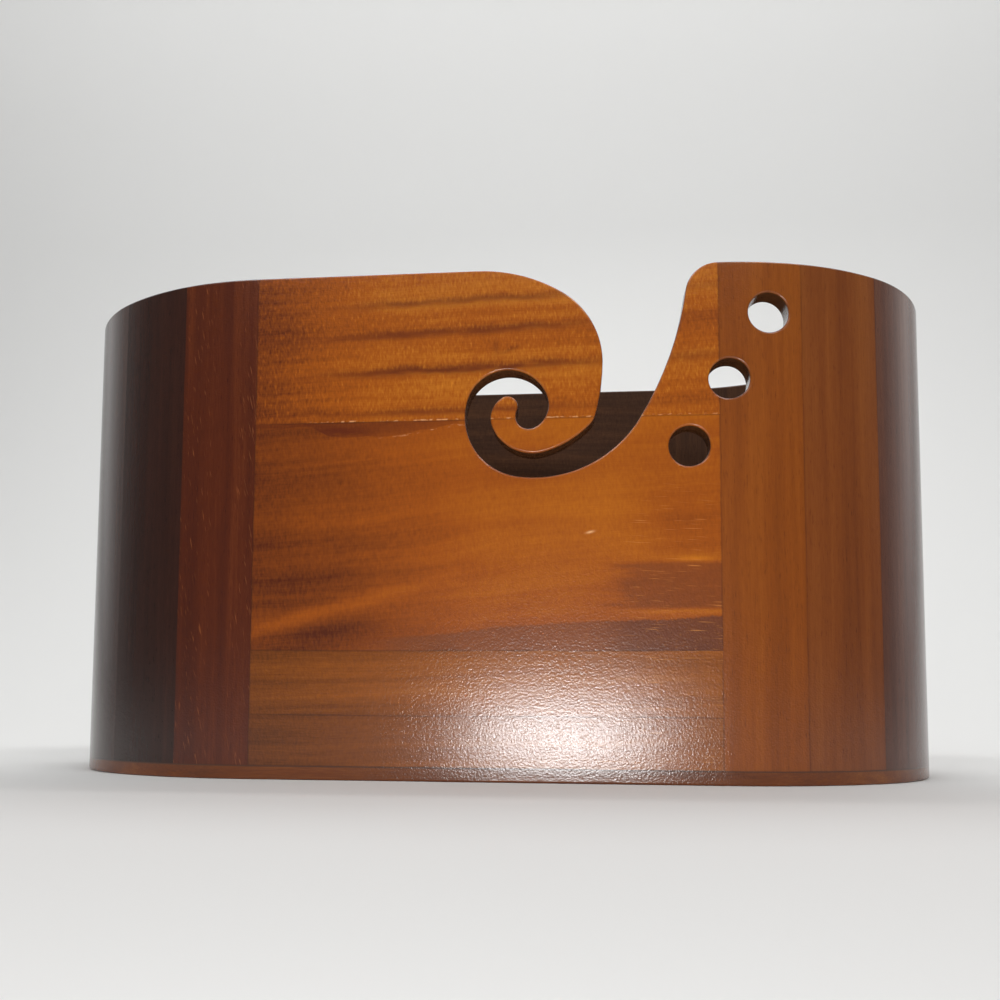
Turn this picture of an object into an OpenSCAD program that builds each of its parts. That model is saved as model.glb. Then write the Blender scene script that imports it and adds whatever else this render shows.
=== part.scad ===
// Open-top wooden box that holds a ball of yarn while it unwinds. The walls are boards and
// upright staves glued edge to edge round an oval base plate. The front wall has a curled slot
// that feeds the yarn, open at the rim, and a slanting row of holes for needles or extra strands.
// The origin is on the table under the middle of the box, +Z is up and the front faces -Y.

/* [Box] */
// Length of the box, left to right
body_w = 240; // [220:2:270]
// Depth of the box, front to back
body_d = 104; // [100:1:108]
// Height of the box
body_h = 128; // [120:1:145]
// Thickness of the walls
wall = 6.4; // [4:0.2:9]
// Thickness of the base plate under the walls
base_t = 3.5; // [2.5:0.5:8]

/* [Rounded ends] */
// How far each rounded end runs past the flat front wall
end_reach = 62; // [58:1:66]
// Radius of the gentle curve where the flat wall turns into the end
shoulder_r = 73.5; // [72:0.5:80]

/* [Boards] */
// Width of the top board, down from the rim
top_board = 38.4; // [36:0.2:41]
// Top edge of the bottom board, up from the table
bottom_board_top = 16; // [12:1:22]
// Top edge of the lower board, up from the table
lower_board_top = 32; // [28:1:45]

/* [Yarn slot] */
// Left end of the slot's mouth on the rim, from the middle of the box
slot_x = -1.5; // [-6:0.5:2]
// Angle between neighbouring points on the slot's curves
slot_step = 5; // [2:1:10]

/* [Needle holes] */
// Diameter of each hole
hole_d = 10; // [4:0.5:11]
// Number of holes in the row
hole_count = 3; // [1:1:3]
// Distance of the top hole from the middle of the box
hole_x = 70.2; // [68:0.2:73]
// Distance of the top hole below the rim
hole_drop = 12.8; // [10:0.2:15]
// Step to the next hole, towards the middle of the box
hole_step_x = 9.75; // [9:0.25:10]
// Step to the next hole, downwards
hole_step_z = 16.6; // [16:0.2:18]

/* [Hidden] */
// The slot's outline on the front wall is a chain of tangent arcs, each [radius, turn], where a
// turn above 0 bears left. It leaves the rim heading right, rounds the lobe, curls in to the tip,
// turns back round the pocket, runs along the channel under the lobe and climbs the ramp.
LOBE_ARCS = [[40, -32], [21.5, -59], [53.5, -14], [6, -30], [25.5, -28]];
TIP_ARCS = [[11, -85], [6, -80], [2.6, -147]];
POCKET_ARCS = [[3.3, 145], [6.5, 83], [10.5, 144]];
CHANNEL_ARCS = [[15.5, 95], [30, 67]];
RAMP_ARCS = [[85, 23]];

// Boxes that part the pieces that the slot leaves of a board, as [x, z] from the slot's start on
// the rim: the curl's tip above the top seam, the crescent below it, and the right of the board
TIP_BOX = [[1.5, -top_board - 5], [13.5, -30]];
CRESCENT_BOX = [[2.5, -47.3], [29.5, -top_board + 5]];
RIGHT_BOX = [[35.5, -top_board - 5], [75, 5]];

// How far a cutter runs past the faces that it cuts
over = 5;
// Segments of the round faces and of the holes
round_fn = 128;
hole_fn = 64;

// The flat walls end at flat_x, where the shoulder arc takes over. One end is three tangent arcs,
// shoulder, end, shoulder, so end_r follows from the reach, the depth and the shoulder.
flat_x = body_w / 2 - end_reach;
half_d = body_d / 2;
end_r = (end_reach ^ 2 + half_d ^ 2 - 2 * half_d * shoulder_r) / (2 * (end_reach - shoulder_r));
end_cx = body_w / 2 - end_r;
shoulder_cy = shoulder_r - half_d;

// Where the two arcs meet, on a face drawn in by inset
function meet_x(inset) = flat_x + (shoulder_r - inset) * (end_cx - flat_x) / (shoulder_r - end_r);

// The end stave starts where the arcs meet. Two staves of equal width share the shoulder arc.
end_seam = meet_x(0);
stave_seam = (flat_x + end_seam) / 2;
top_seam = body_h - top_board;

PALE_STRIPE = [0.74, 0.43, 0.15];
AMBER = [0.62, 0.31, 0.11];
CHESTNUT = [0.45, 0.20, 0.08];
RUSSET = [0.50, 0.22, 0.09];
DARK_STAVE = [0.27, 0.12, 0.07];
DARK_END = [0.22, 0.11, 0.08];

// Heading 0 runs along +X. The centre lies to the left of the path for a turn above 0.
function arc_centre(p, heading, r, turn) = p + sign(turn) * r * [-sin(heading), cos(heading)];
function arc_point(c, heading, r, turn) = c + sign(turn) * r * [sin(heading), -cos(heading)];
function arc_points(p, heading, r, turn) =
    let (c = arc_centre(p, heading, r, turn), n = ceil(abs(turn) / slot_step))
    [for (i = [1:n]) arc_point(c, heading + turn * i / n, r, turn)];
function chain_points(p, heading, arcs, i = 0) =
    i == len(arcs) ? [] :
    let (pts = arc_points(p, heading, arcs[i][0], arcs[i][1]))
    concat(pts, chain_points(pts[len(pts) - 1], heading + arcs[i][1], arcs, i + 1));
function total_turn(arcs, i = 0) = i == len(arcs) ? 0 : arcs[i][1] + total_turn(arcs, i + 1);

// One last arc rounds the ramp over on to the rim, so its radius follows from the climb left.
slot_start = [slot_x, body_h];
slot_arcs = concat(LOBE_ARCS, TIP_ARCS, POCKET_ARCS, CHANNEL_ARCS, RAMP_ARCS);
climb = chain_points(slot_start, 0, slot_arcs);
climb_top = climb[len(climb) - 1];
climb_turn = total_turn(slot_arcs);
rim_r = (body_h - climb_top[1]) / (1 - cos(climb_turn));
rim_points = arc_points(climb_top, climb_turn, rim_r, -climb_turn);
slot_end = rim_points[len(rim_points) - 1];
slot_lid = [[slot_end[0], body_h + over], [slot_x, body_h + over]];
slot_points = concat([slot_start], climb, rim_points, slot_lid);

// Plan of the box, drawn in by inset all round
module plan(inset) {
    square([2 * flat_x, body_d - 2 * inset], center = true);
    for (side = [0, 1]) mirror([side, 0]) {
        translate([end_cx, 0]) circle(r = end_r - inset, $fn = round_fn);
        intersection() {
            translate([flat_x, shoulder_cy]) circle(r = shoulder_r - inset, $fn = round_fn);
            translate([flat_x, -shoulder_cy]) circle(r = shoulder_r - inset, $fn = round_fn);
            translate([flat_x, -half_d]) square([meet_x(inset) - flat_x, body_d]);
        }
    }
}

// An upright piece of the wall at the right-hand end, standing on the base plate. It runs from
// the front to y_high, so the end stave can be one C-shaped piece.
module stave(x_low, x_high, y_high) {
    translate([0, 0, base_t])
        linear_extrude(body_h - base_t)
            intersection() {
                difference() {
                    plan(0);
                    plan(wall);
                }
                translate([x_low, -half_d]) square([x_high - x_low, y_high + half_d]);
            }
}

module inner_stave() {
    stave(flat_x, stave_seam, 0);
}

module middle_stave() {
    stave(stave_seam, end_seam, 0);
}

module end_stave() {
    stave(end_seam, body_w / 2, half_d);
}

module to_left() {
    mirror([1, 0, 0]) children();
}

module to_back() {
    mirror([0, 1, 0]) children();
}

// A flat board of the front wall between two heights
module board(z_low, z_high) {
    translate([-flat_x, -half_d, z_low]) cube([2 * flat_x, wall, z_high - z_low]);
}

// Runs through the front wall from inside the box to outside it
module through_front() {
    translate([0, -half_d + wall + over, 0])
        rotate([90, 0, 0])
            linear_extrude(wall + 2 * over) children();
}

module slot() {
    through_front() polygon(slot_points);
}

module needle_holes() {
    for (i = [0:hole_count - 1])
        through_front()
            translate([hole_x - i * hole_step_x, body_h - hole_drop - i * hole_step_z])
                circle(d = hole_d, $fn = hole_fn);
}

module part_box(box) {
    through_front() translate(slot_start + box[0]) square(box[1] - box[0]);
}

module cut_board(z_low, z_high) {
    difference() {
        board(z_low, z_high);
        slot();
        needle_holes();
    }
}

module base_plate() {
    color(RUSSET) linear_extrude(base_t) plan(0);
}

module front_bottom_board() {
    color(CHESTNUT) board(base_t, bottom_board_top);
}

module front_lower_board() {
    color(CHESTNUT) board(bottom_board_top, lower_board_top);
}

module front_middle_board() {
    color(AMBER) difference() {
        cut_board(lower_board_top, top_seam);
        part_box(CRESCENT_BOX);
    }
}

module front_top_board_left() {
    color(PALE_STRIPE) difference() {
        cut_board(top_seam, body_h);
        part_box(TIP_BOX);
        part_box(RIGHT_BOX);
    }
}

module front_top_board_right() {
    color(PALE_STRIPE) intersection() {
        cut_board(top_seam, body_h);
        part_box(RIGHT_BOX);
    }
}

module front_curl_crescent() {
    color(AMBER) intersection() {
        cut_board(lower_board_top, top_seam);
        part_box(CRESCENT_BOX);
    }
}

module front_curl_tip() {
    color(PALE_STRIPE) intersection() {
        cut_board(top_seam, body_h);
        part_box(TIP_BOX);
    }
}

module back_bottom_board() {
    color(CHESTNUT) to_back() board(base_t, bottom_board_top);
}

module back_lower_board() {
    color(CHESTNUT) to_back() board(bottom_board_top, lower_board_top);
}

module back_middle_board() {
    color(AMBER) to_back() board(lower_board_top, top_seam);
}

module back_top_board() {
    color(AMBER) to_back() board(top_seam, body_h);
}

module left_inner_stave_front() {
    color(RUSSET) to_left() inner_stave();
}

module left_middle_stave_front() {
    color(DARK_STAVE) to_left() middle_stave();
}

module left_end_stave() {
    color(DARK_END) to_left() end_stave();
}

module left_middle_stave_back() {
    color(DARK_STAVE) to_back() to_left() middle_stave();
}

module left_inner_stave_back() {
    color(RUSSET) to_back() to_left() inner_stave();
}

module right_inner_stave_front() {
    color(AMBER) difference() {
        inner_stave();
        needle_holes();
    }
}

module right_middle_stave_front() {
    color(RUSSET) middle_stave();
}

module right_end_stave() {
    color(DARK_END) end_stave();
}

module right_middle_stave_back() {
    color(RUSSET) to_back() middle_stave();
}

module right_inner_stave_back() {
    color(AMBER) to_back() inner_stave();
}

base_plate();
front_bottom_board();
front_lower_board();
front_middle_board();
front_top_board_left();
front_top_board_right();
front_curl_crescent();
front_curl_tip();
back_bottom_board();
back_lower_board();
back_middle_board();
back_top_board();
left_inner_stave_front();
left_middle_stave_front();
left_end_stave();
left_middle_stave_back();
left_inner_stave_back();
right_inner_stave_front();
right_middle_stave_front();
right_end_stave();
right_middle_stave_back();
right_inner_stave_back();
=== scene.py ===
# %% [markdown]
# # An oval wooden box that feeds yarn
#
# The box stands open at the top and holds a ball of yarn. Its walls are boards and upright
# staves, glued edge to edge round an oval base plate, then sanded, stained and lacquered. The
# yarn leaves through a curled slot in the front wall, and needles or extra strands pass through
# three slanting holes beside it. Nothing moves, so the looks rest on two things: the softened
# edges of the cut-outs, and the wood, which differs from board to board.
#
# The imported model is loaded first. Every size below is read from it, or repeats a size that the
# model was drawn from, in millimetres.

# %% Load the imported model
import math

import bmesh
import bpy
import numpy as np
from mathutils import Euler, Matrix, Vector
from mathutils.geometry import delaunay_2d_cdt


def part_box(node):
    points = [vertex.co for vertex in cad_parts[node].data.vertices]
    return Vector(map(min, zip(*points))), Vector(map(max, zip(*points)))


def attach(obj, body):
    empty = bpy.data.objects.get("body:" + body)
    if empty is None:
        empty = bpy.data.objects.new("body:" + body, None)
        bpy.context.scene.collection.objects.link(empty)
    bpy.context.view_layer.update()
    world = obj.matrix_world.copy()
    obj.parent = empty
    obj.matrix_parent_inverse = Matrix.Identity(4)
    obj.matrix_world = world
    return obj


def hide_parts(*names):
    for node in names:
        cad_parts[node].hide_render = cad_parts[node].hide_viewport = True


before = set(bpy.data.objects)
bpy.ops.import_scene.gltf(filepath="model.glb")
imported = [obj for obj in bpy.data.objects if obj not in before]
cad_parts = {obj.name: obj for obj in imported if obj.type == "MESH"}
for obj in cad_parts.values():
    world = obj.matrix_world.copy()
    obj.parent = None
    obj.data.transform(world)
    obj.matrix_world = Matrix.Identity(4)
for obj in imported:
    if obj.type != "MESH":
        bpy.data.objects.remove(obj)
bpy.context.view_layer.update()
MM = 0.001

# %% [markdown]
# ## Camera
#
# The camera was found by matching the box's rim, seams and holes with their places in the
# photograph. It stands close in front of the box and low down, and looks a little up and to the
# left. The photograph is a crop, so the lens is shifted instead of tilted further.

# %% Camera
CAMERA_AT = (21.83, -285.13, 19.52)
CAMERA_TURN = (94.31, -0.355, 5.585)
LENS = 34.52
SENSOR = 36.0
SHIFT = (0.0233, 0.1295)

camera_data = bpy.data.cameras.new("camera")
camera_data.sensor_width = SENSOR
camera_data.lens = LENS
camera_data.shift_x, camera_data.shift_y = SHIFT
camera_data.clip_start = 0.01
camera = bpy.data.objects.new("camera", camera_data)
camera.location = Vector(CAMERA_AT) * MM
camera.rotation_euler = Euler([math.radians(turn) for turn in CAMERA_TURN])
bpy.context.scene.collection.objects.link(camera)
bpy.context.scene.camera = camera
bpy.context.scene.view_settings.view_transform = "Standard"
print("camera at", CAMERA_AT, "mm with a", LENS, "mm lens")

# %% [markdown]
# ## Sizes
#
# Seams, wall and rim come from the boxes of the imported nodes. Two things can't be read from a
# box, the radii of the rounded ends and the arcs of the slot, so these repeat the drawing.

# %% Sizes of the walls
def corners(node):
    """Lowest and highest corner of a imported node, in millimetres."""
    low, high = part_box(node)
    return np.array(low) / MM, np.array(high) / MM


_, base_high = corners("base_plate")
back_low, back_high = corners("back_top_board")
HALF_W, HALF_D, BASE_T = base_high
RIM = back_high[2]
WALL = back_high[1] - back_low[1]
FLAT_X = back_high[0]
TOP_SEAM = back_low[2]
LOWER_SEAM = corners("back_lower_board")[1][2]
BOTTOM_SEAM = corners("back_bottom_board")[1][2]
STAVE_SEAM = corners("right_inner_stave_back")[1][0]
END_SEAM = corners("right_end_stave")[0][0]
SHOULDER_R = 73.5
END_REACH = HALF_W - FLAT_X
END_R = (END_REACH ** 2 + HALF_D ** 2 - 2 * HALF_D * SHOULDER_R) / (2 * (END_REACH - SHOULDER_R))
END_CX = HALF_W - END_R
print("wall", round(WALL, 2), "rim", round(RIM, 2), "seams at x", round(FLAT_X, 2),
      round(STAVE_SEAM, 2), round(END_SEAM, 2), "end radius", round(END_R, 2))

# %% Sizes of the slot and the holes
SLOT_X = -1.5
# Each arc is a radius and a turn to the left in degrees: down the lobe and under the curl, in to
# the curl's tip, back round the outside of the slot, and up the ramp.
SLOT_ARCS = [
    (40, -32), (21.5, -59), (53.5, -14), (6, -30), (25.5, -28),
    (11, -85), (6, -80), (2.6, -147),
    (3.3, 145), (6.5, 83), (10.5, 144),
    (15.5, 95), (30, 67), (85, 23),
]
HOLE_R = 5.0
TOP_HOLE = (70.2, 115.2)
HOLE_STEP = (9.75, 16.6)
HOLES = [(TOP_HOLE[0] - HOLE_STEP[0] * i, TOP_HOLE[1] - HOLE_STEP[1] * i) for i in range(3)]
TIP_BOX = ((0.0, TOP_SEAM - 1), (12.0, 98.0))
CRESCENT_BOX = ((1.0, 80.7), (28.0, TOP_SEAM + 1))
PARTING_X = 34.0

# %% [markdown]
# ## The wall as a bent plate
#
# In plan the wall is straight, then a gentle shoulder arc, then the end arc. Everything that is
# cut in the front wall is cut straight through, along the depth of the box. So the front wall is
# drawn flat, as an outline in x and z, and each point's depth is then looked up from its x. One
# flat outline, with its slot and holes, gives the whole front wall between the ends.

# %% The wall's depth at any x
def meeting_x(depth):
    """Where shoulder and end arcs meet on a face drawn in by depth: on the line of centres."""
    return FLAT_X + (SHOULDER_R - depth) * (END_CX - FLAT_X) / (SHOULDER_R - END_R)


def wall_y(x, depth):
    """Distance of a wall face from the middle plane: sqrt(r^2 - dx^2), measured on its arc."""
    x = np.abs(x)
    past = np.clip(x - FLAT_X, 0, SHOULDER_R - WALL - 1)
    shoulder = np.sqrt((SHOULDER_R - depth) ** 2 - past ** 2) - (SHOULDER_R - HALF_D)
    end = np.sqrt(np.clip((END_R - depth) ** 2 - (x - END_CX) ** 2, 0, None))
    return np.where(x > meeting_x(depth), end, shoulder)


# %% The slot's outline, arc by arc
def follow_arcs(start, arcs, step=3.0):
    """Points and headings along tangent arcs (radius, turn): p = c + s r (sin h, -cos h)."""
    points, headings = [np.array([start])], [np.zeros(1)]
    place, heading = np.array(start, float), 0.0
    for radius, turn in arcs:
        side = math.copysign(1, turn)
        count = max(2, math.ceil(abs(turn) / step))
        h = np.radians(heading + turn * np.arange(1, count + 1) / count)
        h0 = math.radians(heading)
        centre = place + side * radius * np.array([-math.sin(h0), math.cos(h0)])
        run = centre + side * radius * np.stack([np.sin(h), -np.cos(h)], 1)
        points.append(run)
        headings.append(h)
        place, heading = run[-1], heading + turn
    return np.concatenate(points), np.concatenate(headings)


climb, _ = follow_arcs((SLOT_X, RIM), SLOT_ARCS)
climb_turn = sum(turn for _, turn in SLOT_ARCS)
rim_r = (RIM - climb[-1, 1]) / (1 - math.cos(math.radians(climb_turn)))
slot_points, slot_headings = follow_arcs((SLOT_X, RIM), SLOT_ARCS + [(rim_r, -climb_turn)])
slot_normals = np.stack([-np.sin(slot_headings), np.cos(slot_headings)], 1)
print("slot outline:", len(slot_points), "points, mouth from x", SLOT_X, "to",
      round(slot_points[-1, 0], 1))

# %% [markdown]
# ## Softened edges
#
# The real edges were eased with sandpaper, so they catch a thin line of light. Each free edge is
# rounded by rows of its outline: row by row the outline is drawn back along its normal by e while
# it goes into the wall by d, with e = r (1 - sin a) and d = r (1 - cos a). Along a glue line
# nothing is drawn back, so boards meet flush.

# %% Rounded edge rows
EDGE_R = 0.55
EDGE_STEPS = 4


def edge_rows():
    """(drawn back, depth) for each row of a wall's edge, from the outer face to the inner one."""
    a = np.linspace(0, math.pi / 2, EDGE_STEPS + 1)
    outer = EDGE_R * np.stack([1 - np.sin(a), 1 - np.cos(a)], 1)
    inner = np.stack([outer[::-1, 0], WALL - outer[::-1, 1]], 1)
    return np.concatenate([outer, inner])


def ring_faces(rows, count):
    """Quads between neighbouring closed rows of count points, as one index array."""
    r, i = np.meshgrid(np.arange(rows - 1), np.arange(count), indexing="ij")
    j = (i + 1) % count
    return np.stack([r * count + i, (r + 1) * count + i, (r + 1) * count + j, r * count + j],
                    -1).reshape(-1, 4)


# %% Filling a face between outlines
GRID_FLAT = 6.0
GRID_BENT = 2.0
CLEAR_OF_EDGE = 1.0


def inside(points, loops):
    """Even-odd test of points against closed loops: an odd count of crossings is inside."""
    odd = np.zeros(len(points), bool)
    for loop in loops:
        a, b = loop, np.roll(loop, -1, 0)
        x, z = points[:, :1], points[:, 1:]
        crosses = (a[:, 1] > z) != (b[:, 1] > z)
        rise = np.where(b[:, 1] == a[:, 1], 1, b[:, 1] - a[:, 1])
        at = a[:, 0] + (z - a[:, 1]) * (b[:, 0] - a[:, 0]) / rise
        odd ^= (np.sum(crosses & (at > x), 1) % 2).astype(bool)
    return odd


def face_grid():
    """Points over the wall: wide apart on the flat, close together where the wall bends."""
    flat = np.arange(-FLAT_X, FLAT_X + 0.1, GRID_FLAT)
    bent = np.arange(FLAT_X + GRID_BENT, END_SEAM, GRID_BENT)
    xs = np.concatenate([-bent[::-1], flat, bent])
    zs = np.arange(BASE_T + GRID_FLAT, RIM, GRID_FLAT)
    return np.stack(np.meshgrid(xs, zs, indexing="ij"), -1).reshape(-1, 2)


def fill(loops):
    """Triangles between closed loops, through a grid of points, by constrained Delaunay."""
    starts = np.cumsum([0] + [len(loop) for loop in loops[:-1]])
    rings = [start + np.stack([np.arange(len(loop)), np.roll(np.arange(len(loop)), -1)], 1)
             for start, loop in zip(starts, loops)]
    outline = np.concatenate(loops)
    grid = face_grid()
    gap = np.linalg.norm(grid[:, None] - outline[None], axis=2).min(1)
    points = np.concatenate([outline, grid[inside(grid, loops) & (gap > CLEAR_OF_EDGE)]])
    made, _, faces, *_ = delaunay_2d_cdt([Vector(p) for p in points],
                                         np.concatenate(rings).tolist(), [], 0, 1e-6)
    made, faces = np.array(made), np.array(faces)
    return made, faces[inside(made[faces].mean(1), loops)]


# %% [markdown]
# ## From outline to boards
#
# The plate is closed by its two faces and its rows of edges. Then it is sawn along the glue
# lines, as planes, and each cut is capped. Neighbouring boards share the same cut, so they meet
# with no gap, and their rounded edges run on across the seam. Each point also carries a number
# from 0 on the sanded outside to 1 inside the box and in the cut-outs, which darkens the colour
# there. It stands partly for stain that the bare grain drank, and partly for painted shade where
# shade falls inside the box and in the cut-outs; the rim gets a share of it as painted shade.

# %% A closed plate from its outline
WELD = 1e-3 * MM


def solid(points, faces, stain_and_shade):
    """A bmesh from arrays: points in millimetres, faces as indices, stain and painted shade at each
    point.
    """
    mesh = bpy.data.meshes.new("solid")
    mesh.from_pydata((points * MM).tolist(), [], faces)
    mesh.attributes.new("stain_and_shade", "FLOAT", "POINT").data.foreach_set("value", stain_and_shade)
    bm = bmesh.new()
    bm.from_mesh(mesh)
    bpy.data.meshes.remove(mesh)
    bmesh.ops.remove_doubles(bm, verts=bm.verts, dist=WELD)
    bmesh.ops.recalc_face_normals(bm, faces=bm.faces)
    return bm


def stain_and_shade_at(depth, cut):
    """Stain and painted shade at a depth in the wall: cut edges darken just under the face, others
    only inside.
    """
    inner = np.clip((depth - WALL + EDGE_R) / EDGE_R, 0, 1)
    return np.maximum(inner, cut * np.clip(depth / EDGE_R, 0, 1) ** 2)


def plate(loops, front):
    """A closed bent plate: rows of each loop through the wall, and a filled face at each end."""
    rows = edge_rows()
    points, faces, stain_and_shade, count = [], [], [], 0

    def add(flat, depth, new_faces, cut):
        """Places flat (x, z) points on the wall at that depth: y comes from the wall's plan."""
        nonlocal count
        y = front * wall_y(flat[:, 0], depth)
        points.append(np.stack([flat[:, 0], y, flat[:, 1]], 1))
        stain_and_shade.append(stain_and_shade_at(depth, cut))
        faces.extend((np.asarray(new_faces) + count).tolist())
        count += len(flat)

    for loop, normal, cut in loops:
        flat = loop[None] - normal[None] * rows[:, 0, None, None]
        depth = np.repeat(rows[:, 1], len(loop))
        add(flat.reshape(-1, 2), depth, ring_faces(len(rows), len(loop)), np.tile(cut, len(rows)))
    for back, depth in (rows[0], rows[-1]):
        flat, triangles = fill([loop - normal * back for loop, normal, _ in loops])
        add(flat, np.full(len(flat), depth), triangles, np.zeros(len(flat)))
    return solid(np.concatenate(points), faces, np.concatenate(stain_and_shade))


# %% The outlines of the two walls
RIM_STEP = 2.0
# Share of darkening on the rim's rounded edge and top: painted shade.
RIM_PAINTED_SHADE = 0.5
HOLE_POINTS = 64


def level(x_from, x_to, z):
    """A level stretch of outline, with points close enough together to follow the bend."""
    xs = np.linspace(x_from, x_to, math.ceil(abs(x_to - x_from) / RIM_STEP) + 1)
    return np.stack([xs, np.full(len(xs), z)], 1)


def wall_loop(slotted):
    """The wall's outline, wood on its left: bottom, right end, rim with or without the slot."""
    bottom = level(-END_SEAM, END_SEAM, BASE_T)
    up = np.array([[0.0, 1.0]])
    if slotted:
        right = level(END_SEAM, slot_points[-1, 0], RIM)[:-1]
        left = level(SLOT_X, -END_SEAM, RIM)[1:]
        top = np.concatenate([right, slot_points[::-1], left])
        normals = np.concatenate([np.repeat(up, len(right), 0), slot_normals[::-1],
                                  np.repeat(up, len(left), 0)])
    else:
        top = level(END_SEAM, -END_SEAM, RIM)
        normals = np.repeat(up, len(top), 0)
    # The slot's edges are darkened fully, as stain and painted shade, and the rim by its share of
    # painted shade.
    cut = np.concatenate([0 * bottom[:, 0], np.where(top[:, 1] < RIM - 1, 1, RIM_PAINTED_SHADE)])
    return np.concatenate([bottom, top]), np.concatenate([0 * bottom, normals]), cut


def hole_loop(centre):
    """A round hole: c + r (cos a, sin a), with the normals towards its centre."""
    a = -2 * math.pi * np.arange(HOLE_POINTS) / HOLE_POINTS
    out = np.stack([np.cos(a), np.sin(a)], 1)
    # The hole's walls are darkened fully, as stain and painted shade.
    return np.array(centre) + HOLE_R * out, -out, np.ones(HOLE_POINTS)


front_wall = plate([wall_loop(True)] + [hole_loop(centre) for centre in HOLES], -1)
back_wall = plate([wall_loop(False)], 1)
print("front wall:", len(front_wall.faces), "faces, back wall:", len(back_wall.faces))

# %% Saw, cap and keep
X_CUTS = {
    "left_middle_stave": (-END_SEAM, -STAVE_SEAM),
    "left_inner_stave": (-STAVE_SEAM, -FLAT_X),
    "right_inner_stave": (FLAT_X, STAVE_SEAM),
    "right_middle_stave": (STAVE_SEAM, END_SEAM),
}
Z_CUTS = {
    "bottom_board": (BASE_T, BOTTOM_SEAM),
    "lower_board": (BOTTOM_SEAM, LOWER_SEAM),
    "middle_board": (LOWER_SEAM, TOP_SEAM),
    "top_board": (TOP_SEAM, RIM),
}
SAW_SLACK = 0.01


def saw(bm, axis, at, keep):
    """Cuts at a plane across an axis, keeps the side that keep (1 or -1) points to, and caps it."""
    place, towards = Vector(), Vector()
    place[axis], towards[axis] = at * MM, keep
    geometry = [*bm.verts, *bm.edges, *bm.faces]
    cut = bmesh.ops.bisect_plane(bm, geom=geometry, dist=WELD / 10, plane_co=place,
                                 plane_no=towards, clear_inner=True)
    edges = [e for e in cut["geom_cut"] if isinstance(e, bmesh.types.BMEdge)]
    bmesh.ops.edgeloop_fill(bm, edges=edges)


def between(bm, axis, low, high):
    """A copy of the plate sawn off at low and high, where the plate reaches past them."""
    part = bm.copy()
    reach = np.array([v.co[axis] for v in bm.verts]) / MM
    if reach.min() < low - SAW_SLACK:
        saw(part, axis, low, 1)
    if reach.max() > high + SAW_SLACK:
        saw(part, axis, high, -1)
    return part


def within(bm, test):
    """A copy that keeps only the loose parts whose points pass a test on x and z."""
    part = bm.copy()
    place = np.array([v.co[:] for v in part.verts]) / MM
    outside = ~test(place[:, 0], place[:, 2])
    bmesh.ops.delete(part, geom=[v for v, out in zip(part.verts, outside) if out],
                     context="VERTS")
    return part


# %% Pieces
PIECES = {}
SHARP_FROM = math.radians(35)


def piece(bm, node):
    """Turns a shape into the piece that stands for a CAD node, smooth but for its sharp edges."""
    bmesh.ops.recalc_face_normals(bm, faces=bm.faces)
    mesh = bpy.data.meshes.new(node + "_wood")
    bm.to_mesh(mesh)
    bm.free()
    mesh.polygons.foreach_set("use_smooth", np.ones(len(mesh.polygons), bool))
    mesh.set_sharp_from_angle(angle=SHARP_FROM)
    board = bpy.data.objects.new(node + "_wood", mesh)
    bpy.context.scene.collection.objects.link(board)
    even = board.modifiers.new("even_shading", "WEIGHTED_NORMAL")
    even.keep_sharp = True
    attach(board, "root")
    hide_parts(node)
    PIECES[node] = board


def in_box(x, z, box):
    """True for points inside a box given by its (x, z) corners."""
    (x0, z0), (x1, z1) = box
    return (x > x0) & (x < x1) & (z > z0) & (z < z1)


FRONT_PARTS = {
    "top_board": {
        "front_top_board_left": lambda x, z: (x < PARTING_X) & ~in_box(x, z, TIP_BOX),
        "front_top_board_right": lambda x, z: x > PARTING_X,
        "front_curl_tip": lambda x, z: in_box(x, z, TIP_BOX),
    },
    "middle_board": {
        "front_middle_board": lambda x, z: ~in_box(x, z, CRESCENT_BOX),
        "front_curl_crescent": lambda x, z: in_box(x, z, CRESCENT_BOX),
    },
}

for side, wall in (("front", front_wall), ("back", back_wall)):
    for name, (low, high) in X_CUTS.items():
        piece(between(wall, 0, low, high), f"{name}_{side}")
    flat = between(wall, 0, -FLAT_X, FLAT_X)
    for name, (low, high) in Z_CUTS.items():
        board = between(flat, 2, low, high)
        if side == "front" and name in FRONT_PARTS:
            for node, test in FRONT_PARTS[name].items():
                piece(within(board, test), node)
        else:
            piece(board.copy(), f"{side}_{name}")
print(len(PIECES), "boards and staves sawn")

# %% [markdown]
# ## The rounded ends and the base plate
#
# An end stave is one C-shaped piece with upright grain. Its section, a tall rectangle with
# rounded top corners, is carried round the end arc. The base plate is the oval plan itself, with
# a rounded lower edge.

# %% End staves
END_STEPS = 64
PLAN_STEPS = (20, 60)


def end_stave(side):
    """Section rows (depth, z) carried round an arc: x = cx + (R - d) cos t, y = (R - d) sin t."""
    rows = edge_rows()
    top = np.stack([rows[:, 1], RIM - rows[:, 0]], 1)
    section = np.concatenate([[[0, BASE_T]], top, [[WALL, BASE_T]]])
    radius = END_R - section[:, 0]
    reach = np.arccos((END_SEAM - END_CX) / radius)
    turn = np.linspace(-1, 1, END_STEPS + 1)[:, None] * reach[None]
    x = side * (END_CX + radius * np.cos(turn))
    y = radius * np.sin(turn)
    z = np.broadcast_to(section[:, 1], x.shape)
    points = np.stack([x, y, z], -1).reshape(-1, 3)
    n = len(section)
    ends = [list(range(n)), list(range(len(points) - n, len(points)))]
    # The stave's inner face is darkened fully, as stain and painted shade, and its rim by its share
    # of painted shade.
    stain_and_shade = stain_and_shade_at(np.tile(section[:, 0], END_STEPS + 1), np.full(len(points), RIM_PAINTED_SHADE))
    return solid(points, ring_faces(END_STEPS + 1, n).tolist() + ends, stain_and_shade)


for side, node in ((-1, "left_end_stave"), (1, "right_end_stave")):
    piece(end_stave(side), node)


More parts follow.
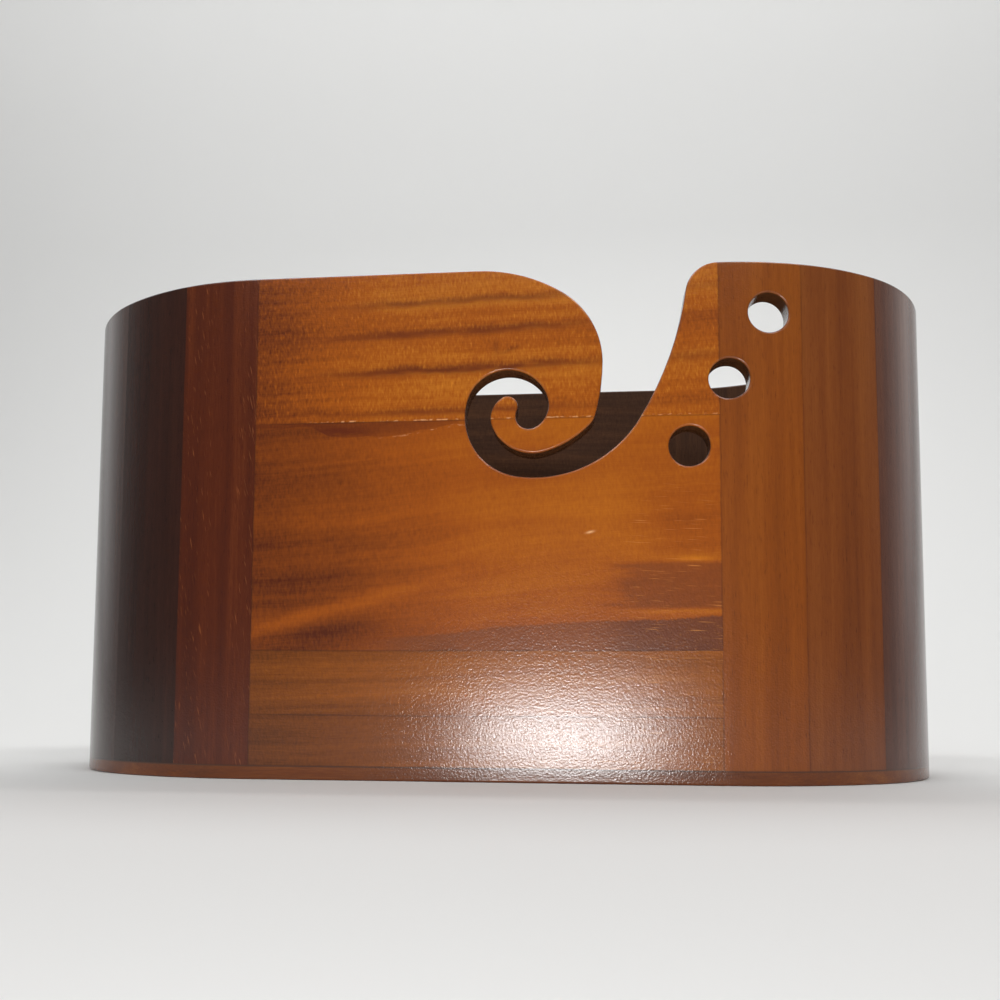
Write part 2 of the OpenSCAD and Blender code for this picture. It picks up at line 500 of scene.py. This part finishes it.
# %% Base plate
def plan_loop():
    """The oval plan and its outward normals: shoulder and end arcs, mirrored and turned round."""
    lean = math.asin((meeting_x(0) - FLAT_X) / SHOULDER_R)
    s = np.linspace(0, lean, PLAN_STEPS[0])
    e = np.linspace(lean - math.pi / 2, math.pi / 2 - lean, PLAN_STEPS[1])[1:-1]
    low_n = np.stack([np.sin(s), -np.cos(s)], 1)
    low = np.array([FLAT_X, SHOULDER_R - HALF_D]) + SHOULDER_R * low_n
    end_n = np.stack([np.cos(e), np.sin(e)], 1)
    end = np.array([END_CX, 0]) + END_R * end_n
    mirror = np.array([1, -1])
    points = np.concatenate([low, end, low[::-1] * mirror])
    normals = np.concatenate([low_n, end_n, low_n[::-1] * mirror])
    return np.concatenate([points, -points]), np.concatenate([normals, -normals])


def base_plate():
    """Rows of the plan: drawn back by e at height d round the lower edge, then straight up."""
    points, normals = plan_loop()
    rows = np.concatenate([edge_rows()[:EDGE_STEPS + 1], [[0, BASE_T]]])
    flat = points[None] - normals[None] * rows[:, 0, None, None]
    z = np.broadcast_to(rows[:, 1, None, None], flat.shape[:2] + (1,))
    stack = np.concatenate([flat, z], -1).reshape(-1, 3)
    n = len(points)
    ends = [list(range(n)), list(range(len(stack) - n, len(stack)))]
    return solid(stack, ring_faces(len(rows), n).tolist() + ends, np.zeros(len(stack)))


piece(base_plate(), "base_plate")
print(len(PIECES), "pieces stand for", len(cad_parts), "nodes")

# %% [markdown]
# ## A way to write finishes
#
# The wood is solid: its pattern runs through each board, so it is worked out from the place in
# the block, in millimetres, and is long along the grain and fine across it. A Field is a value
# that varies over the surface. Sums and products of fields add math nodes, so a finish can be
# written as a formula.

# %% Fields and finishes
def screen(red, green, blue):
    """Linear colour for a colour seen on screen: ((c + 0.055) / 1.055) ^ 2.4."""
    return tuple(((c / 255 + 0.055) / 1.055) ** 2.4 for c in (red, green, blue)) + (1.0,)


class Field:
    """A value that varies over the surface of one finish."""

    def __init__(self, finish, socket):
        self.finish, self.socket = finish, socket

    def __add__(self, other):
        return self.finish.math("ADD", self, other)

    def __sub__(self, other):
        return self.finish.math("SUBTRACT", self, other)

    def __rsub__(self, other):
        return self.finish.math("SUBTRACT", other, self)

    def __mul__(self, other):
        return self.finish.math("MULTIPLY", self, other)

    def bell(self, width):
        """A soft line where the field is 0: e ^ -(v / width)^2."""
        return self.finish.math("EXPONENT", self * self * (-1 / width ** 2), 0)

    def step(self, low, high):
        """0 below low and 1 above high, with a smooth step between; turned round if low > high."""
        out = self.finish.node("ShaderNodeMapRange", [self, low, high, 0.0, 1.0],
                               interpolation_type="SMOOTHSTEP")
        return Field(self.finish, out.outputs["Result"])


SEED_STEP = (7.3, 3.1, 5.7)
NOISE_ROUGHNESS = 0.55
NOISE_GAIN = 3.0


class Finish:
    """One lacquered wood: place in millimetres, noises along its grain, and a shader."""

    def __init__(self, name, along):
        self.material = bpy.data.materials.new(name)
        self.material.use_nodes = True
        self.tree = self.material.node_tree
        self.shader = self.tree.nodes["Principled BSDF"]
        self.along = along
        object_place = self.node("ShaderNodeTexCoord", []).outputs["Object"]
        self.place = self.node("ShaderNodeVectorMath", [object_place, (1 / MM,) * 3],
                               operation="MULTIPLY").outputs[0]
        split = self.node("ShaderNodeSeparateXYZ", [self.place])
        self.x, self.y, self.z = (Field(self, out) for out in split.outputs)

    def node(self, kind, inputs, **settings):
        """Adds a node, with its settings, and wires or sets its inputs in order."""
        made = self.tree.nodes.new(kind)
        for key, value in settings.items():
            setattr(made, key, value)
        for socket, value in zip(made.inputs, inputs):
            self.feed(socket, value)
        return made

    def feed(self, socket, value):
        """Links a field or socket into an input, or sets the input to a plain value."""
        if isinstance(value, Field):
            self.tree.links.new(value.socket, socket)
        elif isinstance(value, bpy.types.NodeSocket):
            self.tree.links.new(value, socket)
        elif value is not None:
            socket.default_value = value

    def math(self, operation, a, b):
        """One sum, product or other operation on two values."""
        return Field(self, self.node("ShaderNodeMath", [a, b], operation=operation).outputs[0])

    def moved(self, shift):
        """The place with its across-the-grain coordinate moved by a field, in millimetres."""
        parts = [self.x, self.y, self.z]
        across = 2 - self.along
        parts[across] = parts[across] + shift
        return self.node("ShaderNodeCombineXYZ", parts).outputs[0]

    def leaning(self, degrees):
        """The place turned about y, so that noise made in it leans by so many degrees."""
        return self.node("ShaderNodeVectorRotate", [self.place, None, None, math.radians(degrees)],
                         rotation_type="Y_AXIS").outputs[0]

    def noise(self, long, thick, seed, place=None, detail=2.0):
        """Noise of -1 to 1 with lumps long along the grain and thick across it."""
        sizes = [1 / thick] * 3
        sizes[self.along] = 1 / long
        spread = self.node("ShaderNodeVectorMath",
                           [place or self.place, sizes, [seed * step for step in SEED_STEP]],
                           operation="MULTIPLY_ADD").outputs[0]
        lumps = self.node("ShaderNodeTexNoise", [spread, None, 1.0, detail, NOISE_ROUGHNESS])
        return (Field(self, lumps.outputs["Fac"]) - 0.5) * NOISE_GAIN

    def mix(self, share, first, second):
        """Blend of two colours by a share of 0 to 1."""
        made = self.node("ShaderNodeMix", [], data_type="RGBA")
        self.feed(made.inputs[0], share)
        self.feed(made.inputs[6], first)
        self.feed(made.inputs[7], second)
        return Field(self, made.outputs[2])

    def ramp(self, value, colours):
        """Colour read off evenly spaced colours by a value of 0 to 1."""
        made = self.node("ShaderNodeValToRGB", [value])
        stops = made.color_ramp.elements
        while len(stops) < len(colours):
            stops.new(0.5)
        for i, colour in enumerate(colours):
            stops[i].position = i / (len(colours) - 1)
            stops[i].color = screen(*colour)
        return Field(self, made.outputs["Color"])


# %% [markdown]
# ## Bare wood
#
# Every board starts from the same wood. Broad noise gives light and dark zones, middle noise
# gives growth lines, and fine noise gives fibres. The lines wander a little and may slope. Then
# come the marks that belong to one board, and at last the lacquer.

# %% Tone of the grain
def grain(f, seed, slope=0.0, wander=1.2, broad=0.30, lines=0.20, fibre=0.16):
    """Tone from dark 0 to light 1: a middle value plus broad, middle and fine noise."""
    drift = f.noise(70, 25, seed + 0.3, detail=1.0) * wander
    run = (f.x, f.y, f.z)[f.along]
    place = f.moved(drift - run * slope)
    tone = f.noise(150, 9, seed, place) * broad + 0.5
    tone = tone + f.noise(60, 1.5, seed + 1, place, 3.0) * lines
    return tone + f.noise(4, 0.28, seed + 2, place, 2.0) * fibre


# %% Lacquer
# Colours of stain and painted shade inside the box, in the cut-outs and on the rim, darker or paler
# with the grain.
STAIN_AND_SHADE_DARK = screen(62, 36, 20)
STAIN_AND_SHADE_PALE = screen(112, 70, 40)
WOOD_SHEEN = 0.08
WOOD_ROUGHNESS = 0.62
COAT_ROUGHNESS = 0.18
COAT_IOR = 1.5
PEEL = 0.45
PEEL_HEIGHT = 4.3
FIBRE_HEIGHT = 0.1
HEIGHT_UNIT = 0.01 * MM
BUMP_REACH = 0.3


def lacquer(f, colour, tone, seed):
    """Stain and painted shade inside the box and in the cut-outs, then a satin coat whose surface
    follows fibres and orange peel.
    """
    stain_and_shade = Field(f, f.node("ShaderNodeAttribute", [], attribute_name="stain_and_shade").outputs["Fac"])
    stain_and_shade_colour = f.mix(tone.step(0.2, 0.9), STAIN_AND_SHADE_DARK, STAIN_AND_SHADE_PALE)
    f.feed(f.shader.inputs["Base Color"], f.mix(stain_and_shade, colour, stain_and_shade_colour))
    f.feed(f.shader.inputs["Roughness"], WOOD_ROUGHNESS - tone * 0.15)
    f.shader.inputs["Specular IOR Level"].default_value = WOOD_SHEEN
    f.shader.inputs["Coat Weight"].default_value = 1.0
    f.shader.inputs["Coat Roughness"].default_value = COAT_ROUGHNESS
    f.shader.inputs["Coat IOR"].default_value = COAT_IOR
    peel = Field(f, f.node("ShaderNodeTexNoise", [f.place, None, 1 / PEEL, 2.0]).outputs["Fac"])
    height = peel * PEEL_HEIGHT + f.noise(4, 0.4, seed, detail=1.0) * FIBRE_HEIGHT
    bump = f.node("ShaderNodeBump", [1.0, HEIGHT_UNIT, BUMP_REACH, height])
    f.feed(f.shader.inputs["Normal"], bump.outputs[0])
    f.feed(f.shader.inputs["Coat Normal"], bump.outputs[0])


# %% Glue lines
GLUE = screen(52, 22, 6)
GLUE_WIDTH = 0.20


def glue(f, colour, seams, seed, strength=0.6):
    """A thin dark line along each seam, broken up by noise; a seam is a field that is 0 on it."""
    breaks = f.noise(9, 9, seed, detail=1.0).step(-0.9, 0.5) * strength
    for seam in seams:
        colour = f.mix(seam.bell(GLUE_WIDTH) * breaks, colour, GLUE)
    return colour


def seams_at(f, heights, xs):
    """Seams at some heights and some x, as fields that are 0 on the seam."""
    return [f.z - height for height in heights] + [f.x - x for x in xs]


# %% Marks that several boards share
SPARK = screen(236, 178, 120)
SPARK_WIDTH = 0.16
PALE_STREAK = screen(214, 138, 62)


def figure(f, seed):
    """Short upright flecks that lean both ways, as light plays on rippled wood: -1 to 1."""
    left = f.noise(0.5, 1.5, seed, f.leaning(13), 1.0)
    right = f.noise(0.6, 1.9, seed + 0.5, f.leaning(-9), 1.0)
    return (left + right) * 0.7


def glints(f, line, length, thick, seed):
    """A thin bright line where a field is 0, broken up into dashes of about that length."""
    return line.bell(SPARK_WIDTH) * f.noise(length, thick, seed).step(-0.1, 0.5)


# %% [markdown]
# ## The top board
#
# The top board of the front wall is the palest: golden, with a fine ripple that stands upright,
# four dark growth lines that rise gently to the right, and a darker left end. The curl's tip and
# the piece beyond the slot were cut from the same board, so they share its finish.

# %% Top board
TOP_TONES = [(96, 38, 0), (164, 82, 3), (204, 124, 28)]
GROWTH = screen(104, 42, 6)
# Each line: height at x = 0, slope, half width, and how dark it is.
GROWTH_LINES = [(120.5, 0.032, 1.1, 0.66), (112.8, 0.036, 1.2, 0.80),
                (103.1, 0.030, 1.2, 0.95), (92.3, 0.018, 0.9, 0.60)]
BARK = (3.3, 108.2)
BARK_TAIL = (7.0, 107.35)


def growth_lines(f, seed, flecks):
    """Four lines, z = height + slope x, fuzzy, strongest in the middle of the board."""
    wobble = f.noise(9, 4, seed + 5, detail=3.0) * 0.7 + flecks * 0.35
    fade = (f.x.step(-52, -20) * 0.75 + 0.25) * (f.x.step(34, 6) * 0.6 + 0.4)
    fade = fade * f.noise(8, 2, seed + 8).step(-2.0, 0.3)
    share = 0.0
    for height, slope, width, depth in GROWTH_LINES:
        line = (f.z - f.x * slope - height + wobble).bell(width)
        share = line * fade * depth + share
    return share


def bark_fleck(f, flecks):
    """A short dark fleck of bark in the grain, with a tail that rises to the right."""
    knot = (f.x - BARK[0]).bell(0.8) * (f.z - BARK[1]).bell(1.6)
    rise = f.z - BARK_TAIL[1] - (f.x - BARK_TAIL[0]) * 0.35
    return knot * 0.5 + (rise + flecks * 0.3).bell(0.6) * (f.x - BARK_TAIL[0]).bell(2.6) * 0.5


def top_board(node, seed):
    """Golden wood with upright flecks, growth lines, a fleck of bark and glints on its seam."""
    f = Finish(node + "_finish", 0)
    tone = grain(f, seed, slope=0.033, broad=0.26, lines=0.14, fibre=0.07)
    flecks = figure(f, seed + 4)
    tone = tone + flecks * 0.20 + flecks.step(0.3, 0.9) * 0.12 + f.noise(14, 14, seed + 7) * 0.10
    tone = tone - f.x.step(-22, -64) * 0.46 + f.z.step(110, 128) * 0.14
    dark = growth_lines(f, seed, flecks) + bark_fleck(f, flecks)
    colour = f.mix(dark, f.ramp(tone, TOP_TONES), GROWTH)
    colour = glue(f, colour, seams_at(f, [TOP_SEAM], [FLAT_X, -FLAT_X]), seed)
    seam_glints = glints(f, f.z - TOP_SEAM - 0.25, 1.6, 0.8, seed + 6) * f.x.step(-46, -38)
    lacquer(f, f.mix(seam_glints * 0.8, colour, SPARK), tone, seed)
    return f.material


# %% [markdown]
# ## The middle board
#
# The widest board holds most of the colour. It is brown at the left and golden from the middle
# on. A pale band climbs through it from the lower left, a wedge of purple heartwood lies along
# its lower edge, and a dark lens of resin runs just under its upper seam.

# %% Middle board: light and dark
MIDDLE_TONES = [(82, 30, 0), (156, 76, 0), (196, 112, 12)]
BAND_FOOT = (-57.0, 36.5)
BAND_SLOPE = 0.28
BAND_WIDTH = 1.9
# Each patch: height over the band, half width, x, reach along x, and how dark it is.
DARK_PATCHES = [(-5.0, 3.4, -35, 14, 0.16), (8.5, 4.2, -38, 15, 0.12)]
RUDDY = screen(124, 64, 26)
LIGHT_LINE_Z = 41.5
ORANGE_LENS = (51.5, 54.3)


def band_and_patches(f, seed):
    """Tone of a pale band that climbs to the right, with a dark patch under and one over it."""
    over_band = f.z - BAND_FOOT[1] - (f.x - BAND_FOOT[0]) * BAND_SLOPE
    over_band = over_band + f.noise(16, 6, seed) * 0.9
    tone = over_band.bell(BAND_WIDTH) * f.x.step(6, -28) * 0.22
    for height, width, x, reach, depth in DARK_PATCHES:
        tone = tone - (over_band - height).bell(width) * (f.x - x).bell(reach) * depth
    return tone


def right_end(f, seed, far):
    """The ruddy zone's share, and the tone of it, of the zone above and of two light streaks."""
    ragged = f.x + f.noise(9, 1.2, seed + 14) * 5
    ruddy = f.z.step(41.6, 43.0) * f.z.step(54.2, 52.6) * ragged.step(28, 40)
    upper = f.z.step(54.8, 57) * f.z.step(78, 66) * f.x.step(30, 50)
    line = (f.z - LIGHT_LINE_Z + f.noise(12, 3, seed + 16) * 0.4).bell(0.6) * far
    lens = (f.z - ORANGE_LENS[1]).bell(0.6) * (f.x - ORANGE_LENS[0]).bell(4)
    return ruddy, line * 0.16 + lens * 0.34 - ruddy * 0.20 - upper * 0.14


# %% Middle board: heartwood, resin and dashes
HEARTWOOD = screen(124, 64, 26)
DARK_HEARTWOOD = screen(84, 44, 30)
WEDGE_FOOT = 36.4
WEDGE_SLOPE = 0.070
RESIN = screen(92, 32, 2)
RESIN_Z = 85.9
CHIP = (26.6, 61.0)


def heartwood_wedge(f, seed, flecks, colour):
    """A purple wedge along the lower edge: its top edge rises to the right and bulges midway."""
    bulge = (f.x - 12).bell(24) * 1.3
    edge = f.x * WEDGE_SLOPE + WEDGE_FOOT + bulge + f.noise(7, 3, seed + 8, detail=4.0) * 0.5
    wedge = (edge - f.z + flecks * 0.4).step(-0.35, 0.5) * f.x.step(-34, -14)
    patches = f.noise(10, 6, seed + 15).step(-0.3, 0.7)
    heart = f.mix(f.x.step(26, 38) * 0.7 + patches * 0.25, HEARTWOOD, DARK_HEARTWOOD)
    heart = f.mix(f.noise(0.9, 0.35, seed + 9).step(0.2, 0.9) * 0.3, heart, PALE_STREAK)
    return f.mix(wedge * 0.85, colour, heart)


def resin_lens(f, seed, colour):
    """Dark resin from the seam down to a ragged floor, spotted, with glints along the floor."""
    ragged = f.noise(5, 1.6, seed + 10, detail=3.0)
    floor = f.x.step(-38, -44) * 2.6 + f.x.step(-26, -4) * 2.8 + RESIN_Z + ragged * 0.5
    lens = (f.z - floor).step(-0.2, 0.25) * f.x.step(-3, -8)
    spots = (f.x + 36).bell(8) * (f.z - RESIN_Z - 1.3 + ragged).bell(1.0) * 0.5
    colour = f.mix(lens * (spots + ragged * 0.15 + 0.42), colour, RESIN)
    floor_glints = glints(f, f.z - floor + 0.3, 1.8, 1, seed + 11) * (f.x + 13).bell(9)
    return f.mix(floor_glints * 0.7, colour, SPARK)


def middle_board(node, seed):
    """Brown to golden wood with a pale band, a heartwood wedge, a lens of resin and one chip."""
    f = Finish(node + "_finish", 0)
    tone = grain(f, seed, slope=0.09, wander=2.0, broad=0.20, lines=0.08, fibre=0.05)
    flecks = figure(f, seed + 12)
    tone = tone + flecks * 0.09 + f.noise(22, 16, seed + 13) * 0.08
    tone = tone - f.x.step(4, -64) * 0.36 + f.x.step(-20, 20) * 0.08
    far = f.x.step(30, 42)
    ruddy, zones = right_end(f, seed, far)
    tone = tone + band_and_patches(f, seed + 4) + zones
    colour = f.mix(ruddy * 0.5, f.ramp(tone, MIDDLE_TONES), RUDDY)
    colour = heartwood_wedge(f, seed, flecks, colour)
    dashes = f.noise(7, 0.30, seed + 7, f.leaning(-3), 1.0).step(0.40, 0.85) * f.z.step(84, 56)
    colour = f.mix(dashes * far * 0.55, colour, PALE_STREAK)
    colour = resin_lens(f, seed, colour)
    chip_line = f.z - CHIP[1] - (f.x - CHIP[0]) * 0.2
    colour = f.mix((f.x - CHIP[0]).bell(0.9) * chip_line.bell(0.28), colour, SPARK)
    colour = glue(f, colour, seams_at(f, [TOP_SEAM, LOWER_SEAM], [FLAT_X, -FLAT_X]), seed)
    lacquer(f, colour, tone, seed)
    return f.material


# %% [markdown]
# ## The lower boards
#
# Two narrow boards close the wall below. Their grain is straight and level, with fine pale
# dashes to the right. The back wall's boards are as plain, so the same recipe serves them.

# %% Lower boards and back boards
LOWER_TONES = [(80, 36, 0), (144, 76, 8), (188, 116, 40)]
BOTTOM_TONES = [(78, 35, 0), (134, 70, 10), (174, 104, 36)]


def plain_board(node, seed, tones, seam_heights, slope=0.02, darker_left=0.30):
    """Level, straight grain, browner at the left and with pale dashes at the right."""
    f = Finish(node + "_finish", 0)
    tone = grain(f, seed, slope=slope, broad=0.26, lines=0.14, fibre=0.08)
    tone = tone + figure(f, seed + 5) * 0.08 - f.x.step(0, -62) * darker_left
    dashes = f.noise(8, 0.34, seed + 4, detail=1.0).step(0.40, 0.85) * f.x.step(6, 36)
    colour = f.mix(dashes * 0.45, f.ramp(tone, tones), PALE_STREAK)
    seams = seams_at(f, seam_heights, [FLAT_X, -FLAT_X])
    lacquer(f, glue(f, colour, seams, seed), tone, seed)
    return f.material


# %% [markdown]
# ## The staves
#
# Staves stand on end, so their grain is upright. On the left they are a red-brown stave flecked
# with short slanting pores, then nearly black heartwood. On the right they go from orange to
# red-brown to a purplish end. Where such wood turns away, only the sheen of the lacquer is left.

# %% Staves
STAVE_TONES = {
    "left_inner": [(54, 15, 0), (84, 31, 3), (122, 58, 18)],
    "left_middle": [(28, 9, 2), (44, 17, 6), (70, 33, 18)],
    "left_end": [(30, 11, 5), (52, 24, 14), (78, 44, 28)],
    "right_inner": [(90, 40, 5), (134, 67, 10), (166, 94, 24)],
    "right_middle": [(84, 37, 8), (122, 62, 18), (150, 86, 32)],
    "right_end": [(56, 27, 18), (92, 52, 35), (124, 80, 56)],
}
FLECK = screen(168, 96, 46)
DARK_STREAK_X = -65.5
FLECK_LEAN = 0.22


def stave(node, seed, tones, seam_xs):
    """Upright grain with short pores; the left inner stave has pale flecks by a dark streak."""
    f = Finish(node + "_finish", 2)
    tone = grain(f, seed, slope=0.0, wander=0.8, broad=0.26, lines=0.14, fibre=0.10)
    tone = tone + (f.z - RIM / 2) * 0.0012
    pores = f.noise(2.6, 0.26, seed + 4, detail=1.0).step(0.35, 0.8)
    tone = tone - pores * 0.26
    if node.startswith("left_inner"):
        off_streak = f.x - DARK_STREAK_X
        tone = tone - (off_streak + f.noise(40, 6, seed + 6) * 0.8).bell(1.5) * 0.2
        leaning = f.moved(f.z * FLECK_LEAN)
        flecks = f.noise(4.0, 0.40, seed + 5, leaning, 1.0).step(0.40, 0.95)
        columns = off_streak.step(0.5, 3.5) + off_streak.step(-2.5, -5.5)
        colour = f.mix(flecks * columns * 0.42, f.ramp(tone, tones), FLECK)
    else:
        colour = f.ramp(tone, tones)
    lacquer(f, glue(f, colour, seams_at(f, [BASE_T], seam_xs), seed, 0.45), tone, seed)
    return f.material


# %% Base plate
BASE_TONES = [(60, 24, 1), (104, 50, 7), (142, 80, 20)]
BASE_STAIN_AND_SHADE = screen(70, 40, 20)


def base_wood(node, seed):
    """Level grain, and darker on its upper face inside the box, as stain and painted shade."""
    f = Finish(node + "_finish", 0)
    tone = grain(f, seed, slope=0.01, broad=0.24, lines=0.16)
    colour = f.ramp(tone, BASE_TONES)
    # The upper face inside the box is darkened, as stain and painted shade.
    colour = f.mix(f.z.step(BASE_T - 0.5, BASE_T - 0.05), colour, BASE_STAIN_AND_SHADE)
    lacquer(f, colour, tone, seed)
    return f.material


# %% Every piece gets its wood
def seam_places(node):
    """The x of both seams of a stave, on its own side of the box."""
    side = -1 if node.startswith("left") else 1
    span = {"inner": (FLAT_X, STAVE_SEAM), "middle": (STAVE_SEAM, END_SEAM), "end": (END_SEAM,)}
    return [side * x for x in span[node.split("_")[1]]]


def wood_for(node, seed):
    """Picks the finish that a node's board is made of."""
    if "stave" in node:
        return stave(node, seed, STAVE_TONES["_".join(node.split("_")[:2])], seam_places(node))
    if node == "base_plate":
        return base_wood(node, seed)
    if "bottom" in node:
        return plain_board(node, seed, BOTTOM_TONES, (BASE_T, BOTTOM_SEAM))
    if "lower" in node:
        return plain_board(node, seed, LOWER_TONES, (BOTTOM_SEAM, LOWER_SEAM))
    if node == "back_middle_board":
        return plain_board(node, seed, MIDDLE_TONES, (LOWER_SEAM, TOP_SEAM), 0.06, 0.1)
    if node == "back_top_board":
        return plain_board(node, seed, MIDDLE_TONES, (TOP_SEAM,), -0.03, 0.0)
    if node in ("front_middle_board", "front_curl_crescent"):
        return middle_board(node, seed)
    return top_board(node, seed)


TOP_BOARD_SEED = 3.0
MIDDLE_BOARD_SEED = 8.0
FIRST_SEED = 20
SEED_GAP = 1.7
SEEDS = {"front_top_board_right": TOP_BOARD_SEED, "front_top_board_left": TOP_BOARD_SEED,
         "front_curl_tip": TOP_BOARD_SEED, "front_middle_board": MIDDLE_BOARD_SEED,
         "front_curl_crescent": MIDDLE_BOARD_SEED}
for number, (node, board) in enumerate(sorted(PIECES.items())):
    board.data.materials.append(wood_for(node, SEEDS.get(node, FIRST_SEED + SEED_GAP * number)))
print(len(PIECES), "finishes")

# %% [markdown]
# ## Floor, backdrop and light
#
# The floor sweeps up into a backdrop, both pale, so that no horizon shows. Two kinds of light
# fall on the box. Soft boxes stand high, above the angles that the upright walls can mirror
# into the camera, so they colour the wood without a veil. One small lamp stands on the floor in
# front: its mirror image, blurred by the satin lacquer, is the glare low on the front wall. Two
# more lamps light the backdrop and the floor in front.

# %% Sweep
PALE = (0.80, 0.80, 0.79, 1.0)
SWEEP_Y = 150.0
SWEEP_R = 950.0
SWEEP_TOP = 2200.0
FRONT_REACH = 2600.0
SIDE_REACH = 1500.0


def sweep():
    """A profile (floor, quarter arc y = c + r sin a, z = r (1 - cos a), wall) carried along x."""
    a = np.linspace(0, math.pi / 2, 24)
    arc = np.stack([SWEEP_Y + SWEEP_R * np.sin(a), SWEEP_R * (1 - np.cos(a))], 1)
    profile = np.concatenate([[[-FRONT_REACH, 0]], arc, [[SWEEP_Y + SWEEP_R, SWEEP_TOP]]])
    n = len(profile)
    points = np.concatenate([np.insert(profile, 0, x, 1) for x in (-SIDE_REACH, SIDE_REACH)]) * MM
    i = np.arange(n - 1)
    faces = np.stack([i, i + n, i + n + 1, i + 1], 1)
    mesh = bpy.data.meshes.new("sweep")
    mesh.from_pydata(points.tolist(), [], faces.tolist())
    mesh.polygons.foreach_set("use_smooth", np.ones(len(faces), bool))
    return mesh


paper = bpy.data.materials.new("paper")
paper.use_nodes = True
paper_shader = paper.node_tree.nodes["Principled BSDF"]
paper_shader.inputs["Base Color"].default_value = PALE
paper_shader.inputs["Roughness"].default_value = 0.9
paper_shader.inputs["Specular IOR Level"].default_value = 0.0
floor = bpy.data.objects.new("sweep", sweep())
floor.data.materials.append(paper)
bpy.context.scene.collection.objects.link(floor)

# %% [markdown]
# The room itself is pale behind the box and dim behind the camera. The camera sees it, and so do
# mirror images and whatever shines through glass; for all other light it is almost dark.

# %% World
ROOM = (0.9, 0.9, 0.89, 1.0)
ROOM_GLOW = 0.03
DIM_SIDE = 0.15
PALE_SIDE = 0.95
DIM_UP_TO = -0.1
PALE_FROM = 0.5
world = bpy.data.worlds.new("room")
world.use_nodes = True
nodes, links = world.node_tree.nodes, world.node_tree.links
background = nodes["Background"]
background.inputs["Color"].default_value = ROOM
path = nodes.new("ShaderNodeLightPath")
seen = path.outputs["Is Camera Ray"]
for kind in ("Is Glossy Ray", "Is Transmission Ray"):
    either = nodes.new("ShaderNodeMath")
    either.operation = "MAXIMUM"
    links.new(seen, either.inputs[0])
    links.new(path.outputs[kind], either.inputs[1])
    seen = either.outputs[0]
split = nodes.new("ShaderNodeSeparateXYZ")
links.new(nodes.new("ShaderNodeTexCoord").outputs["Generated"], split.inputs[0])
side = nodes.new("ShaderNodeMapRange")
links.new(split.outputs["Y"], side.inputs["Value"])
fade = {"From Min": DIM_UP_TO, "From Max": PALE_FROM, "To Min": DIM_SIDE, "To Max": PALE_SIDE}
for socket, value in fade.items():
    side.inputs[socket].default_value = value
strength = nodes.new("ShaderNodeMix")
links.new(seen, strength.inputs["Factor"])
strength.inputs["A"].default_value = ROOM_GLOW
links.new(side.outputs["Result"], strength.inputs["B"])
links.new(strength.outputs["Result"], background.inputs["Strength"])
bpy.context.scene.world = world

# %% Lamps
TARGET = (0, 0, 60)
# Each lamp: place and size in millimetres, and power in watts.
LAMPS = {
    "soft_box_left": ((-600, -650, 1400), (700, 400), 5.4),
    "soft_box_right": ((650, -620, 1400), (700, 400), 6.3),
    "soft_box_back": ((0, 450, 1000), (900, 300), 3.0),
    "backdrop_wash": ((0, 350, 1500), (2800, 200), 11.0),
    "floor_wash": ((0, -2300, 1900), (2600, 1400), 17.0),
    "low_lamp": ((18, -300, 2), (80, 4), 0.26),
}
AIMS = {"backdrop_wash": (0, 1100, 550), "floor_wash": (0, -2301, 0), "low_lamp": (18, 0, 2)}

for name, (place, (width, height), watts) in LAMPS.items():
    data = bpy.data.lights.new(name, "AREA")
    data.shape = "RECTANGLE"
    data.size, data.size_y = width * MM, height * MM
    data.energy = watts
    lamp = bpy.data.objects.new(name, data)
    lamp.location = Vector(place) * MM
    aim = Vector(AIMS.get(name, TARGET)) * MM
    lamp.rotation_euler = (aim - lamp.location).to_track_quat("-Z", "Y").to_euler()
    bpy.context.scene.collection.objects.link(lamp)
print(len(LAMPS), "lamps")
